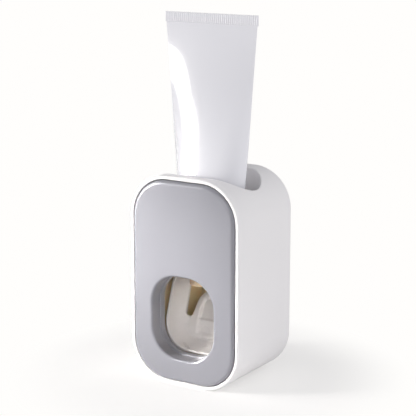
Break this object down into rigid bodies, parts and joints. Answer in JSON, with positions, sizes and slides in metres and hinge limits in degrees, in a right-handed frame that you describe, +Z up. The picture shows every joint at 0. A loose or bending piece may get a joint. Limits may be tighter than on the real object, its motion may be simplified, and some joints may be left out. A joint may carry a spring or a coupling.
{
  "type": "toothpaste dispenser",
  "caption": "Tall rounded wall or counter dispenser with a push cup in its front window, a squeeze pump inside, and a soft tube standing neck-down in its top.",
  "frame": {"origin": "middle of the stand face at the bottom of the overall box; the standing tube's axis passes through it", "axes": "+Z up along the tube, front cover and brush window facing -Y, +X to the viewer's right"},
  "size_m": [0.07, 0.059, 0.2026],
  "materials": {
    "casing_white": "satin moulded ABS, white",
    "cover_grey": "high-gloss moulded ABS, cool light grey",
    "carrier_amber": "moulded polypropylene, amber tan",
    "inner_white": "moulded polypropylene, off-white",
    "cup_white": "satin moulded ABS, warm white",
    "silicone": "moulded silicone, translucent white",
    "steel": "stainless steel wire, pins and screws",
    "tube_laminate": "satin-gloss white laminate sleeve",
    "tube_plastic": "moulded polyethylene, white"
  },
  "bodies": {
    "casing": {"outer_shell": "casing_white", "carrier_frame": "carrier_amber", "pump_head": "inner_white", "duct_plug": "silicone", "valve_seat": "inner_white", "neck_grommet": "silicone", "pump_bulb": "silicone", "bulb_clamp": "carrier_amber", "clamp_screws": "steel", "head_screws": "steel", "outlet_nozzle": "silicone", "nozzle_cap": "inner_white", "pin_left": "steel", "pin_right": "steel", "spring_left": "steel", "spring_right": "steel"},
    "cup": {"push_cup": "cup_white", "press_pad": "cover_grey"},
    "cover": {"front_cover": "cover_grey"},
    "tube": {"tube_sleeve": "tube_laminate", "tube_shoulder": "tube_plastic"},
    "valve": {"inlet_valve": "silicone"}
  },
  "joints": [
    {"name": "cup_swing", "type": "hinge", "parent": "casing", "child": "cup", "pos_m": [0, -0.001, 0.062], "axis": [1, 0, 0], "range_deg": [0, 14], "stiffness_Nm_per_rad": 0.25, "springref_deg": -6.88, "deforming": ["pump_bulb", "spring_left", "spring_right"]},
    {"name": "cover_pull", "type": "slide", "parent": "casing", "child": "cover", "axis": [0, -1, 0], "range_m": [0, 0.03]},
    {"name": "tube_lift", "type": "slide", "parent": "casing", "child": "tube", "axis": [0, 0, 1], "range_m": [0, 0.06]},
    {"name": "inlet_lift", "type": "slide", "parent": "casing", "child": "valve", "axis": [0, 0, 1], "range_m": [0, 0.00085]}
  ]
}
